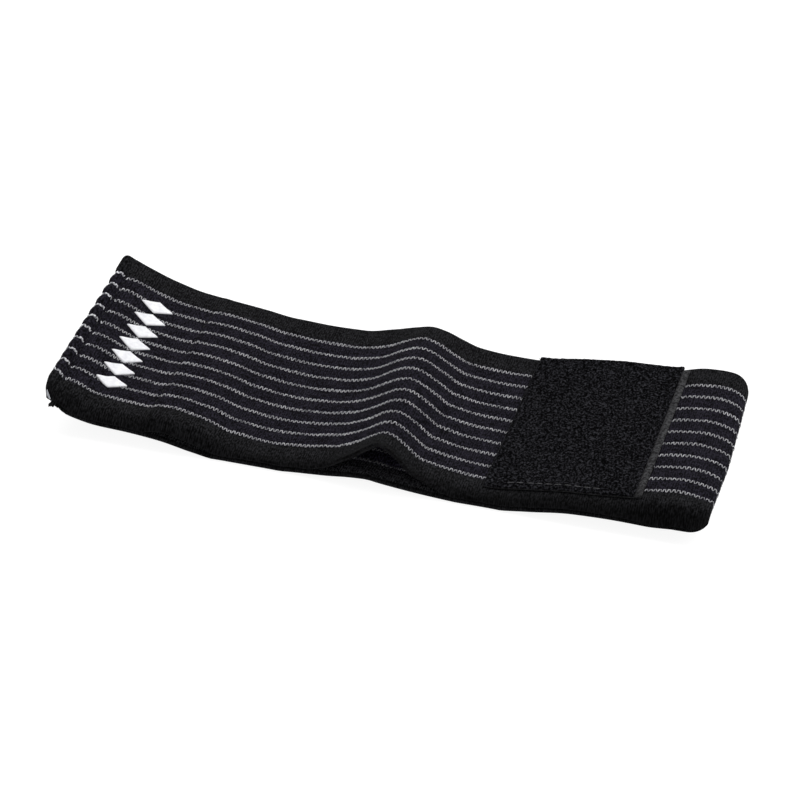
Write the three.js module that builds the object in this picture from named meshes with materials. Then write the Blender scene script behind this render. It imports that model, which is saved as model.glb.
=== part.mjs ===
// Wrist wrap: one long elastic band, folded in two and lying on a flat surface, in millimetres, +Z up.
// X runs along the folded band from its hemmed end to its fold, and Y across it from front to back.
import * as THREE from 'three';

// The band
const foldedLength = 212;
const bandWidth = 75;
const bandThickness = 1.6;
const clearance = 0.3;

// How the folded band lies: the rise of its lower layer at the hemmed end, the parting of its layers
// under the highest wave, how much further the fold reaches at the front, and where it starts to turn
const liftHeight = 10;
const humpHeight = 10;
const foldSkew = 1.5;
const foldStart = 0.955;

// The hem at the free end of the upper layer, with its rounded corners, and the plain end under it
const hemLength = 4.2;
const hemTilt = 0.4;
const cornerRadius = 2.5;
const lowerEndSetback = 0.8;

// The loop tape sewn on the outer face: a woven ground with smooth edges, and the pile on it
const loopTapeStart = 142;
const loopTapeLength = 51;
const loopTapeFrontInset = 4;
const loopTapeThickness = 0.7;
const leftSelvage = 1.8;
const rightSelvage = 3;
const pileEdgeInset = 1;
const pileHeight = 0.8;

// The hook tape sewn inside the hemmed end
const hookTapeLength = 27;
const hookTapeWidth = 70;
const hookTapeThickness = 1.2;
const hookTapeSetback = 0.8;

const colours = { band: 0x1a191c, tape: 0x2b2a2d, pile: 0x141315, hooks: 0x6b6a6e };

// What lies between the layers before they part by themselves
const hemStack = bandThickness + 2 * clearance;
const hookStack = hookTapeThickness + 2 * clearance;

// How the band lies, station by station. along: share of the folded length from the hemmed end.
// lift: height of the lower layer over the floor, as a share of liftHeight, at the front and back edge.
// puff: how far the layers part beyond what lies between them, as a share of humpHeight.
const stations = [
  { along: 0.000, between: hemStack, liftFront: 1.02, liftBack: 1.04, puffFront: 0.21, puffBack: 0.28 },
  { along: 0.040, between: hookStack, liftFront: 0.73, liftBack: 0.76, puffFront: 0.21, puffBack: 0.24 },
  { along: 0.080, between: hookStack, liftFront: 0.55, liftBack: 0.59, puffFront: 0.02, puffBack: 0.09 },
  { along: 0.130, between: hookStack, liftFront: 0.49, liftBack: 0.38, puffFront: 0.02, puffBack: 0.01 },
  { along: 0.180, between: hookStack, liftFront: 0.38, liftBack: 0.25, puffFront: 0.32, puffBack: 0.01 },
  { along: 0.230, between: clearance, liftFront: 0.16, liftBack: 0.13, puffFront: 0.40, puffBack: 0.15 },
  { along: 0.280, between: clearance, liftFront: 0.00, liftBack: 0.00, puffFront: 0.10, puffBack: 0.13 },
  { along: 0.340, between: clearance, liftFront: 0.00, liftBack: 0.00, puffFront: 0.04, puffBack: 0.08 },
  { along: 0.390, between: clearance, liftFront: 0.09, liftBack: 0.03, puffFront: 0.06, puffBack: 0.08 },
  { along: 0.440, between: clearance, liftFront: 0.18, liftBack: 0.09, puffFront: 0.12, puffBack: 0.27 },
  { along: 0.475, between: clearance, liftFront: 0.27, liftBack: 0.11, puffFront: 0.48, puffBack: 0.48 },
  { along: 0.500, between: clearance, liftFront: 0.30, liftBack: 0.12, puffFront: 0.76, puffBack: 0.59 },
  { along: 0.520, between: clearance, liftFront: 0.24, liftBack: 0.10, puffFront: 1.06, puffBack: 0.53 },
  { along: 0.545, between: clearance, liftFront: 0.18, liftBack: 0.08, puffFront: 0.81, puffBack: 0.33 },
  { along: 0.575, between: clearance, liftFront: 0.12, liftBack: 0.06, puffFront: 0.24, puffBack: 0.12 },
  { along: 0.620, between: clearance, liftFront: 0.06, liftBack: 0.04, puffFront: 0.16, puffBack: 0.05 },
  { along: 0.680, between: clearance, liftFront: 0.00, liftBack: 0.00, puffFront: 0.14, puffBack: 0.09 },
  { along: 0.740, between: clearance, liftFront: 0.16, liftBack: 0.14, puffFront: 0.17, puffBack: 0.14 },
  { along: 0.810, between: clearance, liftFront: 0.38, liftBack: 0.32, puffFront: 0.17, puffBack: 0.15 },
  { along: 0.875, between: clearance, liftFront: 0.43, liftBack: 0.36, puffFront: 0.28, puffBack: 0.19 },
  { along: 0.930, between: clearance, liftFront: 0.41, liftBack: 0.38, puffFront: 0.47, puffBack: 0.47 },
  { along: foldStart, between: clearance, liftFront: 0.41, liftBack: 0.38, puffFront: 0.50, puffBack: 0.50 },
  { along: 1.000, between: clearance, liftFront: 0.41, liftBack: 0.38, puffFront: 0.50, puffBack: 0.50 },
];

// How finely each stretch of the band is cut into facets
const upperSteps = 84;
const lowerSteps = 52;
const hemSteps = 4;
const hemTurnSteps = 6;
const foldTurnSteps = 14;
const acrossSteps = 10;
const tapeSteps = 24;

const leftEnd = -(foldedLength + foldSkew) / 2;
const rightEnd = leftEnd + foldedLength;
const hemTurnRadius = (bandThickness + clearance) / 2;
const upperStart = leftEnd + hemTurnRadius + bandThickness / 2 + hemTilt;
const lowerStart = leftEnd + lowerEndSetback;

// Slopes of a smooth curve through the points (xs, ys) that never overshoots them.
function steadySlopes(xs, ys) {
  const rises = xs.slice(1).map((x, i) => (ys[i + 1] - ys[i]) / (x - xs[i]));
  return xs.map((x, i) => {
    const before = rises[Math.max(i - 1, 0)];
    const after = rises[Math.min(i, rises.length - 1)];
    return before * after > 0 ? (2 * before * after) / (before + after) : 0;
  });
}

// A function that gives the curve's height at x.
function curveThrough(xs, ys) {
  const slopes = steadySlopes(xs, ys);
  return (x) => {
    let i = 0;
    while (i < xs.length - 2 && x > xs[i + 1]) i += 1;
    const run = xs[i + 1] - xs[i];
    const t = (x - xs[i]) / run;
    const rest = 1 - t;
    const ends = ys[i] * rest * rest * (1 + 2 * t) + ys[i + 1] * t * t * (3 - 2 * t);
    return ends + run * t * rest * (slopes[i] * rest - slopes[i + 1] * t);
  };
}

// The front edge's share at a place across the band, from -1 at the front to 1 at the back.
// The edges lie looser than the middle, so the change is steepest there.
function frontShare(across) {
  return (1 - across * (0.4 + 0.6 * across * across)) / 2;
}

// Mid-lines of both layers at a place across the band, as functions of x.
function layersAt(across) {
  const front = frontShare(across);
  const mix = (atFront, atBack) => front * atFront + (1 - front) * atBack;
  const xs = stations.map((s) => leftEnd + s.along * foldedLength);
  const lifts = stations.map((s) => liftHeight * mix(s.liftFront, s.liftBack) + bandThickness / 2);
  const gaps = stations.map((s) => s.between + humpHeight * mix(s.puffFront, s.puffBack) + bandThickness);
  const lower = curveThrough(xs, lifts);
  const gap = curveThrough(xs, gaps);
  return { lower, upper: (x) => lower(x) + gap(x) };
}

// A line moved sideways by a distance, to the left of its own direction.
function moved(line, distance) {
  return line.map((point, i) => {
    const next = line[Math.min(i + 1, line.length - 1)];
    const last = line[Math.max(i - 1, 0)];
    const along = next.clone().sub(last).normalize();
    return new THREE.Vector2(point.x - along.y * distance, point.y + along.x * distance);
  });
}

// Points of one layer from x = from to x = to.
function layerLine(height, from, to, steps) {
  return Array.from({ length: steps + 1 }, (_, i) => {
    const x = from + ((to - from) * i) / steps;
    return new THREE.Vector2(x, height(x));
  });
}

// Mid-line of the hem: back along under the upper layer, then round the end.
function hemLine(upper) {
  const top = layerLine(upper, upperStart, upperStart + hemLength, hemSteps);
  const flap = moved(top, -2 * hemTurnRadius).reverse();
  const centre = flap[hemSteps].clone().add(top[0]).multiplyScalar(0.5);
  const spoke = flap[hemSteps].clone().sub(centre);
  const turn = Array.from({ length: hemTurnSteps - 1 }, (_, i) =>
    spoke.clone().rotateAround(new THREE.Vector2(), (-Math.PI * (i + 1)) / hemTurnSteps).add(centre));
  return [...flap, ...turn];
}

// Mid-line of the fold: half an ellipse from the upper layer round to the lower one.
function foldLine(layers, start, across) {
  const reach = rightEnd - foldSkew * across - bandThickness / 2 - start;
  const middle = (layers.upper(start) + layers.lower(start)) / 2;
  const half = (layers.upper(start) - layers.lower(start)) / 2;
  return Array.from({ length: foldTurnSteps - 1 }, (_, i) => {
    const turn = (Math.PI * (i + 1)) / foldTurnSteps;
    return new THREE.Vector2(start + reach * Math.sin(turn), middle + half * Math.cos(turn));
  });
}

// Mid-line of the whole band: hem, upper layer, fold, lower layer.
function bandLine(across) {
  const layers = layersAt(across);
  const start = leftEnd + foldStart * foldedLength;
  return [
    ...hemLine(layers.upper),
    ...layerLine(layers.upper, upperStart, start, upperSteps),
    ...foldLine(layers, start, across),
    ...layerLine(layers.lower, start, lowerStart, lowerSteps),
  ];
}

// How far a corner's rounding draws the edge in, at a distance from the end.
function cornerInset(fromEnd) {
  const short = Math.max(cornerRadius - fromEnd, 0);
  return cornerRadius - Math.sqrt(cornerRadius ** 2 - Math.min(short, cornerRadius) ** 2);
}

// A closed solid between two faces given on one grid: rows of points across, one row per step along.
function closedSolid(over, under) {
  const rows = over.length;
  const columns = over[0].length;
  const points = [...over.flat(), ...under.flat()].flatMap((p) => p.toArray());
  const at = (face, i, j) => face * rows * columns + i * columns + j;
  const faces = [];
  const quad = (a, b, c, d) => faces.push(a, b, c, a, c, d);
  for (let i = 0; i < rows - 1; i += 1) {
    for (let j = 0; j < columns - 1; j += 1) {
      quad(at(0, i, j), at(0, i + 1, j), at(0, i + 1, j + 1), at(0, i, j + 1));
      quad(at(1, i, j), at(1, i, j + 1), at(1, i + 1, j + 1), at(1, i + 1, j));
    }
    quad(at(0, i, 0), at(1, i, 0), at(1, i + 1, 0), at(0, i + 1, 0));
    quad(at(0, i, columns - 1), at(0, i + 1, columns - 1), at(1, i + 1, columns - 1), at(1, i, columns - 1));
  }
  for (let j = 0; j < columns - 1; j += 1) {
    quad(at(0, 0, j), at(0, 0, j + 1), at(1, 0, j + 1), at(1, 0, j));
    quad(at(0, rows - 1, j), at(1, rows - 1, j), at(1, rows - 1, j + 1), at(0, rows - 1, j + 1));
  }
  const geometry = new THREE.BufferGeometry();
  geometry.setAttribute('position', new THREE.Float32BufferAttribute(points, 3));
  geometry.setIndex(faces);
  geometry.computeVertexNormals();
  return geometry;
}

// Columns across the band from one edge to the other, each with its place as a share of the half width.
function columnsBetween(frontEdge, backEdge) {
  return Array.from({ length: acrossSteps + 1 }, (_, j) => {
    const y = frontEdge + ((backEdge - frontEdge) * j) / acrossSteps;
    return { y, across: y / (bandWidth / 2) };
  });
}

// Swaps a list of columns for a list of rows.
function asRows(columns) {
  return columns[0].map((_, i) => columns.map((column) => column[i]));
}

// The band's own solid.
function bandGeometry() {
  const columns = columnsBetween(-bandWidth / 2, bandWidth / 2);
  const face = (distance) => asRows(columns.map(({ y, across }) => {
    const middle = bandLine(across);
    return moved(middle, distance).map((p, i) => {
      const edge = 1 - cornerInset(middle[i].x - leftEnd - bandThickness / 2) / (bandWidth / 2);
      return new THREE.Vector3(p.x, y * edge, p.y);
    });
  }));
  return closedSolid(face(bandThickness / 2), face(-bandThickness / 2));
}

// A tape that follows the upper layer between two places along it, from bottom to top over its mid-line.
function tapeGeometry({ from, to, frontEdge, backEdge, bottom, top }) {
  const columns = columnsBetween(frontEdge, backEdge);
  const face = (distance) => asRows(columns.map(({ y, across }) => {
    const middle = layerLine(layersAt(across).upper, from, to, tapeSteps);
    return moved(middle, distance).map((p) => new THREE.Vector3(p.x, y, p.y));
  }));
  return closedSolid(face(top), face(bottom));
}

function named(name, geometry, colour, roughness) {
  const mesh = new THREE.Mesh(geometry, new THREE.MeshStandardMaterial({ color: colour, roughness, metalness: 0 }));
  mesh.name = name;
  return mesh;
}

const outerFace = bandThickness / 2;
const loopTapeLeft = leftEnd + loopTapeStart;
const loopTapeFront = -bandWidth / 2 + loopTapeFrontInset;
const tapeBottom = outerFace + clearance;
const pileBottom = tapeBottom + loopTapeThickness + clearance;
const hookTapeLeft = upperStart + hemLength + hookTapeSetback;
const hookTop = -outerFace - clearance;

const loopTape = tapeGeometry({
  from: loopTapeLeft,
  to: loopTapeLeft + loopTapeLength,
  frontEdge: loopTapeFront,
  backEdge: bandWidth / 2,
  bottom: tapeBottom,
  top: tapeBottom + loopTapeThickness,
});

const loopPile = tapeGeometry({
  from: loopTapeLeft + leftSelvage,
  to: loopTapeLeft + loopTapeLength - rightSelvage,
  frontEdge: loopTapeFront + pileEdgeInset,
  backEdge: bandWidth / 2 - pileEdgeInset,
  bottom: pileBottom,
  top: pileBottom + pileHeight,
});

const hookTape = tapeGeometry({
  from: hookTapeLeft,
  to: hookTapeLeft + hookTapeLength,
  frontEdge: -hookTapeWidth / 2,
  backEdge: hookTapeWidth / 2,
  bottom: hookTop - hookTapeThickness,
  top: hookTop,
});

const wristWrap = new THREE.Group();
wristWrap.add(
  named('elastic_band', bandGeometry(), colours.band, 0.9),
  named('loop_tape', loopTape, colours.tape, 0.8),
  named('loop_pile', loopPile, colours.pile, 1),
  named('hook_tape', hookTape, colours.hooks, 0.7),
);

export default wristWrap;
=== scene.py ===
"""An elastic wrist wrap, folded in two and lying on white paper."""
import math

import bpy
import numpy as np
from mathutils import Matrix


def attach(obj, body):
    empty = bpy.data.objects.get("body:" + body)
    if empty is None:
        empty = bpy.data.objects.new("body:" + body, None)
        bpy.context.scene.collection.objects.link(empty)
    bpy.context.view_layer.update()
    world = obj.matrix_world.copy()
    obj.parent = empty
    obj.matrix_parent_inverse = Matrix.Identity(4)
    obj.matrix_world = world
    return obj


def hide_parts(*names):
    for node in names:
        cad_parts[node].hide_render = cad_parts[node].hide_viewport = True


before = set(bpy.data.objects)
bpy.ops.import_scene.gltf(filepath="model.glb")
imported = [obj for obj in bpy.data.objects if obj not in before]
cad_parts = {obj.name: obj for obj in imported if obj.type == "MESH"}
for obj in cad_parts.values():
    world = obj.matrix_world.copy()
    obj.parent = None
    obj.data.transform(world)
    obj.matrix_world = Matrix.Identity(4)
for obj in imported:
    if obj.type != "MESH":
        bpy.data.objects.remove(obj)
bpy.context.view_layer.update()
mm = 0.001


# The camera stands at the wrap's front right, a little over a third of the way up, and looks at it
# through a long lens. The wrap fills most of the picture's width.
camera_turn = math.radians(16.5)
camera_rise = math.radians(35.5)
camera_distance = 1061.5
lens_length = 150
camera_right = np.array([math.cos(camera_turn), math.sin(camera_turn), 0])
camera_back = np.array([math.sin(camera_turn) * math.cos(camera_rise),
                        -math.cos(camera_turn) * math.cos(camera_rise), math.sin(camera_rise)])
camera_up = np.cross(camera_back, camera_right)
camera_target = -0.89 * camera_right + 5.86 * camera_up
camera_data = bpy.data.cameras.new("camera")
camera_data.lens = lens_length
camera_data.sensor_width = 36
camera_data.clip_start = 0.05
camera = bpy.data.objects.new("camera", camera_data)
camera_place = np.eye(4)
camera_place[:3, :3] = np.stack([camera_right, camera_up, camera_back], axis=1)
camera_place[:3, 3] = (camera_target + camera_distance * camera_back) * mm
camera.matrix_world = camera_place.T.tolist()
bpy.context.collection.objects.link(camera)
bpy.context.scene.camera = camera


# The floor is one wide sheet of matt white paper, lit from below as well, so that shadows stay faint.
# Two broad soft boxes hang over it, and a pale room fills in from all round.
floor_half = 3000
paper_grey, floor_glow, room_light = 0.25, 0.90, 0.38


def start_material(name, colour, roughness, specular):
    """A plain material: one colour and roughness on its own shader, to which a section adds its weave."""
    material = bpy.data.materials.new(name)
    material.use_nodes = True
    shader = material.node_tree.nodes["Principled BSDF"]
    shader.inputs["Base Color"].default_value = (*colour, 1)
    shader.inputs["Roughness"].default_value = roughness
    shader.inputs["Specular IOR Level"].default_value = specular
    return material, shader


def mesh_piece(name, points, faces, material):
    """A smooth mesh object from points in millimetres and a list of face tables, each with as many
    columns as its faces have corners."""
    mesh = bpy.data.meshes.new(name)
    corners = np.concatenate([table.ravel() for table in faces]).astype(np.int32)
    sizes = np.concatenate([np.full(len(table), table.shape[1]) for table in faces])
    mesh.vertices.add(len(points))
    mesh.vertices.foreach_set("co", (points * mm).astype(np.float32).ravel())
    mesh.loops.add(len(corners))
    mesh.loops.foreach_set("vertex_index", corners)
    mesh.polygons.add(len(sizes))
    mesh.polygons.foreach_set("loop_start", (np.cumsum(sizes) - sizes).astype(np.int32))
    mesh.update(calc_edges=True)
    mesh.shade_smooth()
    mesh.materials.append(material)
    piece = bpy.data.objects.new(name, mesh)
    bpy.context.collection.objects.link(piece)
    return piece


def soft_box(name, place, target, width, depth, power):
    """A rectangular lamp at a place in millimetres, turned towards a target."""
    lamp = bpy.data.lights.new(name, "AREA")
    lamp.shape = "RECTANGLE"
    lamp.size, lamp.size_y, lamp.energy = width * mm, depth * mm, power
    back = np.array(place, float) - np.array(target, float)
    back /= np.linalg.norm(back)
    right = np.cross([0, 1, 0], back)
    right /= np.linalg.norm(right)
    matrix = np.eye(4)
    matrix[:3, :3] = np.stack([right, np.cross(back, right), back], axis=1)
    matrix[:3, 3] = np.array(place) * mm
    box = bpy.data.objects.new(name, lamp)
    box.matrix_world = matrix.T.tolist()
    bpy.context.collection.objects.link(box)


paper, shader = start_material("white_paper", (paper_grey,) * 3, 0.9, specular=0.0)
shader.inputs["Emission Color"].default_value = (1, 1, 1, 1)
shader.inputs["Emission Strength"].default_value = floor_glow
floor_points = np.array([[-1, -1, 0], [1, -1, 0], [1, 1, 0], [-1, 1, 0]]) * float(floor_half)
floor = mesh_piece("floor", floor_points, [np.array([[0, 1, 2, 3]])], paper)
room = bpy.data.worlds.new("pale_room")
room.use_nodes = True
room.node_tree.nodes["Background"].inputs["Color"].default_value = (1, 1, 1, 1)
room.node_tree.nodes["Background"].inputs["Strength"].default_value = room_light
bpy.context.scene.world = room
bpy.context.scene.view_settings.view_transform = "Standard"
soft_box("box_over", place=(-100, 480, 1080), target=(0, 0, 0), width=1500, depth=1000, power=12)
soft_box("box_right", place=(800, 300, 850), target=(0, 0, 0), width=700, depth=700, power=5)


# The band is one long strip of black woven elastic, 1.6 mm thick. Its end is turned under as a hem,
# and the strip runs on to the fold at the right and back under itself to its other end. Its corners
# are rounded, and its hemmed end reaches a little further out at its own two corners.
folded_length, band_width, band_thickness, clearance, floor_room = 212.0, 75.0, 1.6, 0.3, 0.02
lift_height, hump_height, fold_skew, fold_start = 10.0, 10.0, 1.5, 0.955
hem_length, hem_tilt, lower_end_setback = 4.2, 0.4, 0.8
front_corners, back_corner, fold_corner = [6.5, 3.0, 3.0, 8.0], 1.0, 5.0
left_reach_place, left_reach, left_reach_length = [-37.5, -33, 37.5], [1.5, 0.85, 1.3], 24.0
fold_bulge_share, fold_bulge = [-1, -0.2, 1], [-0.3, 1.3, 1.0]
hook_tape_thickness = 1.2
hem_stack = band_thickness + 2 * clearance
hook_stack = hook_tape_thickness + 2 * clearance

# How the band lies: share of the folded length, what lies between the layers, the lower layer's lift at
# the front and back edge, and how far the layers part beyond that at the front and back edge.
stations = np.array([
    [0.000, hem_stack, 1.02, 1.04, 0.21, 0.28],
    [0.040, hook_stack, 0.73, 0.76, 0.21, 0.24],
    [0.080, hook_stack, 0.55, 0.59, 0.02, 0.09],
    [0.130, hook_stack, 0.49, 0.38, 0.02, 0.01],
    [0.180, hook_stack, 0.38, 0.25, 0.32, 0.01],
    [0.230, clearance, 0.16, 0.13, 0.40, 0.15],
    [0.280, clearance, 0.00, 0.00, 0.10, 0.13],
    [0.340, clearance, 0.00, 0.00, 0.04, 0.08],
    [0.390, clearance, 0.09, 0.03, 0.06, 0.08],
    [0.440, clearance, 0.18, 0.09, 0.12, 0.27],
    [0.475, clearance, 0.27, 0.11, 0.48, 0.48],
    [0.500, clearance, 0.30, 0.12, 0.76, 0.59],
    [0.520, clearance, 0.24, 0.10, 1.06, 0.53],
    [0.545, clearance, 0.18, 0.08, 0.81, 0.33],
    [0.575, clearance, 0.12, 0.06, 0.24, 0.12],
    [0.620, clearance, 0.06, 0.04, 0.16, 0.05],
    [0.680, clearance, 0.00, 0.00, 0.14, 0.09],
    [0.740, clearance, 0.16, 0.14, 0.17, 0.14],
    [0.810, clearance, 0.38, 0.32, 0.17, 0.15],
    [0.875, clearance, 0.43, 0.36, 0.28, 0.19],
    [0.930, clearance, 0.41, 0.38, 0.47, 0.47],
    [fold_start, clearance, 0.41, 0.38, 0.50, 0.50],
    [1.000, clearance, 0.41, 0.38, 0.50, 0.50],
])
half_width = band_width / 2
half_thickness = band_thickness / 2
left_end = -(folded_length + fold_skew) / 2
right_end = left_end + folded_length
hem_turn_radius = (band_thickness + clearance) / 2
upper_start = left_end + hem_turn_radius + half_thickness + hem_tilt
lower_start = left_end + lower_end_setback
fold_x = left_end + fold_start * folded_length

# The upper layer also lies in low waves, which show in the run of its stripes. Each row: place from the
# left end, then the height to add at the first, fourth, seventh and tenth stripe and at the back edge.
waves = np.array([
    [0.0, 0.25, 0.45, 0.70, 0.95, 1.20],
    [2.2, -0.10, 0.20, 0.45, 0.75, 1.05],
    [4.4, -1.25, -0.90, -0.50, -0.20, 0.80],
    [7.5, -0.95, -0.40, 0.05, 0.30, 0.50],
    [13.2, -1.20, -0.65, -0.15, 0.00, 0.15],
    [18.9, -1.15, -0.60, -0.25, -0.30, 0],
    [24.8, -1.10, -0.40, -0.30, -0.60, 0],
    [30.8, -1.00, -0.55, -0.60, -0.75, 0],
    [36.8, -0.70, -0.45, -0.55, -0.40, 0],
    [42.7, -0.10, 0.15, -0.05, -0.15, 0],
    [48.6, 0.15, 0.35, 0.05, -0.15, 0],
    [54.3, 0.45, 0.55, 0.28, 0.05, 0],
    [60.1, 0.40, 0.35, 0.20, -0.05, 0],
    [66.1, -0.15, -0.30, -0.28, -0.28, 0],
    [72.1, -0.42, -0.60, -0.60, -0.38, 0],
    [78.1, -0.49, -0.70, -0.83, -0.57, 0],
    [84.1, -0.42, -0.70, -0.94, -0.77, 0],
    [90.0, -0.12, -0.57, -0.80, -0.75, 0],
    [95.7, -0.25, -0.45, -0.20, -0.30, 0],
    [99.2, -0.88, -0.48, 0.42, 0.22, 0],
    [101.3, -0.85, -0.28, 0.85, 0.60, 0],
    [104.0, -0.30, 0.35, 1.15, 0.75, 0],
    [106.7, 0.10, 0.96, 1.00, 0.48, 0],
    [112.5, 0.05, 0.48, -0.45, -1.15, 0],
    [117.5, -0.30, 0.15, -0.60, -1.40, 0],
    [122.5, 0.38, 0.18, -0.45, -0.85, 0],
    [128.5, 0.04, -0.34, -0.75, -0.68, 0],
    [134.5, -0.40, -0.61, -0.85, -0.59, 0],
    [140.5, -0.51, -0.62, -0.70, -0.40, 0],
    [150.0, -0.60, -0.70, -0.70, -0.30, 0],
    [180.0, -0.90, -1.05, -0.95, -0.60, 0],
    [190.0, -1.00, -1.15, -1.00, -0.60, 0],
    [197.0, -0.80, -0.95, -0.75, -0.35, 0],
    [202.5, -0.40, -0.50, -0.30, -0.05, 0],
])
wave_across = np.array([-28.62, -9.54, 9.54, 28.62, 37.5])
least_room = 0.15

# The cloth rolls down along its front edge. Places along the band, and how far each layer's edge falls
# there, less in the hem, whose flap lies in between. The lower layer sinks in a hollow under the hump.
fall_from, fall_width = 33.2, 4.3
fall_place = [0, 50, 65, 88, 98, 122, 130, 150, 212]
front_fall = [2.2, 2.2, 1.0, 0.6, -1.2, -1.2, 0.8, 3.2, 4.4]
lower_place, lower_fall = [196, 206], [0.4, -0.4]
flap_place = [6.5, 10]
hollow_place, hollow_length, hollow_depth, hollow_rise = 112.0, 13.0, 1.3, 7.0

table_columns = np.linspace(-1, 1, 121)
front_share = (1 - table_columns * (0.4 + 0.6 * table_columns**2)) / 2
station_x = left_end + stations[:, 0] * folded_length
station_lift = lift_height * (np.outer(stations[:, 2], front_share)
                              + np.outer(stations[:, 3], 1 - front_share)) + half_thickness
station_gap = stations[:, 1:2] + band_thickness + hump_height * (
    np.outer(stations[:, 4], front_share) + np.outer(stations[:, 5], 1 - front_share))


def steady_curve(x, heights, places):
    """Smooth curves through the heights at some places that never overshoot them, one for each column.
    The slope at a place is the harmonic mean of the rises on both sides where both have one sign, or
    else nought, and each stretch between two places is the cubic with these heights and slopes."""
    rises = np.diff(heights, axis=0) / np.diff(places)[:, None]
    before = np.concatenate([rises[:1], rises])
    after = np.concatenate([rises, rises[-1:]])
    alike = before * after > 0
    slopes = np.where(alike, 2 * before * after / np.where(alike, before + after, 1), 0)
    i = np.clip(np.searchsorted(places, x) - 1, 0, len(places) - 2)
    run = (places[i + 1] - places[i])[:, None]
    t = (x - places[i])[:, None] / run
    rest = 1 - t
    ends = heights[i] * rest**2 * (1 + 2 * t) + heights[i + 1] * t**2 * (3 - 2 * t)
    return ends + run * t * rest * (slopes[i] * rest - slopes[i + 1] * t)


wave_x = left_end + waves[:, 0]
wave_heights = np.stack([np.interp(table_columns * half_width, wave_across, row) for row in waves[:, 1:]])
fall_share = np.clip((-table_columns * half_width - fall_from) / fall_width, 0, 1)**2
hollow_share = np.clip((table_columns + 1) * half_width / hollow_rise, 0, 1)


def bell(way, width):
    """A bell curve of height 1: exp(-(way / width)^2)."""
    return np.exp(-(way / width)**2)


def both_layers(x):
    """Heights of the two layers' mid-lines. Lower: the lift's curve, less a bell-shaped hollow under the
    hump. Upper: that lift plus the gap's curve and the waves, but never nearer than the least room. Both
    fall along the front edge with the square of the way past a line, the lower one down to the floor at
    most, the upper one down to the lower one, or to the flap in between."""
    lift, gap = steady_curve(x, station_lift, station_x), steady_curve(x, station_gap, station_x)
    wave = steady_curve(x, wave_heights, wave_x)
    between = steady_curve(x, stations[:, 1:2], station_x)
    room = gap - between - band_thickness
    upper = lift + gap + np.maximum(wave, -room - least_room)
    room = np.maximum(room + wave, -least_room)
    place = (x - left_end)[:, None]
    hollow = hollow_depth * bell(place - hollow_place, hollow_length) * hollow_share
    lower_most = np.interp(place, lower_place, lower_fall)
    down = np.minimum(lower_most, lift[:, :1] - half_thickness) * fall_share
    lower = np.maximum(lift - hollow, half_thickness) - down
    upper_most = np.interp(place, fall_place, front_fall)
    spare = np.interp(place, flap_place, [0, 1]) * (between - clearance)
    return lower, upper - np.minimum(upper_most, room[:, :1] + spare) * fall_share - down


def layer_line(layer, start, end, steps):
    """Points (x, z) of one layer's mid-line from start to end, with one line for each column across."""
    x = np.linspace(start, end, steps + 1)
    z = both_layers(x)[layer]
    return np.stack([np.broadcast_to(x[:, None], z.shape), z], axis=-1)


def left_of(line):
    """The direction to the left of each line: the run between a point's neighbours, a quarter turn on."""
    run = np.concatenate([line[1:], line[-1:]]) - np.concatenate([line[:1], line[:-1]])
    run /= np.linalg.norm(run, axis=-1, keepdims=True)
    return np.stack([-run[..., 1], run[..., 0]], axis=-1)


def turned(spoke, angles):
    """A spoke turned by each angle: (x cos - z sin, x sin + z cos)."""
    cosine, sine = np.cos(angles)[:, None], np.sin(angles)[:, None]
    x, z = spoke[:, 0], spoke[:, 1]
    return np.stack([x * cosine - z * sine, x * sine + z * cosine], axis=-1)


# The mid-line's stretches in order: the hem's flap, its half turn, the upper layer, the fold as half an
# ellipse, and the lower layer back to the left.
lower_layer, upper_layer = 0, 1
hem_steps, upper_steps, fold_steps, lower_steps = 24, 800, 64, 640
hem_top = layer_line(upper_layer, upper_start, upper_start + hem_length, hem_steps)
flap_line = (hem_top - 2 * hem_turn_radius * left_of(hem_top))[::-1]
hem_centre = (flap_line[-1] + hem_top[0]) / 2
hem_angle = -np.pi * np.arange(1, hem_steps) / hem_steps
hem_turn_line = hem_centre + turned(flap_line[-1] - hem_centre, hem_angle)
upper_line = layer_line(upper_layer, upper_start, fold_x, upper_steps)
lower_line = layer_line(lower_layer, fold_x, lower_start, lower_steps)
fold_angle = (np.pi * np.arange(1, fold_steps) / fold_steps)[:, None]
fold_reach = (right_end - fold_skew * table_columns - half_thickness - fold_x
              + np.interp(table_columns, fold_bulge_share, fold_bulge))
fold_line = np.stack([
    fold_x + fold_reach * np.sin(fold_angle),
    (upper_line[-1, :, 1] + lower_line[0, :, 1]) / 2
    + (upper_line[-1, :, 1] - lower_line[0, :, 1]) / 2 * np.cos(fold_angle)], axis=-1)
mid_line = np.concatenate([flap_line, hem_turn_line, upper_line, fold_line, lower_line])
mid_left = left_of(mid_line)
middle_column = len(table_columns) // 2
middle_steps = np.linalg.norm(np.diff(mid_line[:, middle_column], axis=0), axis=1)
path_length = np.concatenate([[0], np.cumsum(middle_steps)])
band_length = path_length[-1]
upper_from = len(flap_line) + len(hem_turn_line)
upper_rows = slice(upper_from, upper_from + len(upper_line))
hem_turn_from, hem_turn_to = path_length[len(flap_line) - 1], path_length[upper_rows.start]
hem_edge = (hem_turn_from + hem_turn_to) / 2
fold_from = path_length[upper_rows.stop - 1]
fold_to = path_length[upper_rows.stop + len(fold_line)]
front_corner_along = [hem_edge, hem_turn_to, fold_from, fold_to]


def along_upper(x):
    """How far along the band's path the upper layer reaches x."""
    return np.interp(x, upper_line[:, middle_column, 0], path_length[upper_rows])


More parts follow.
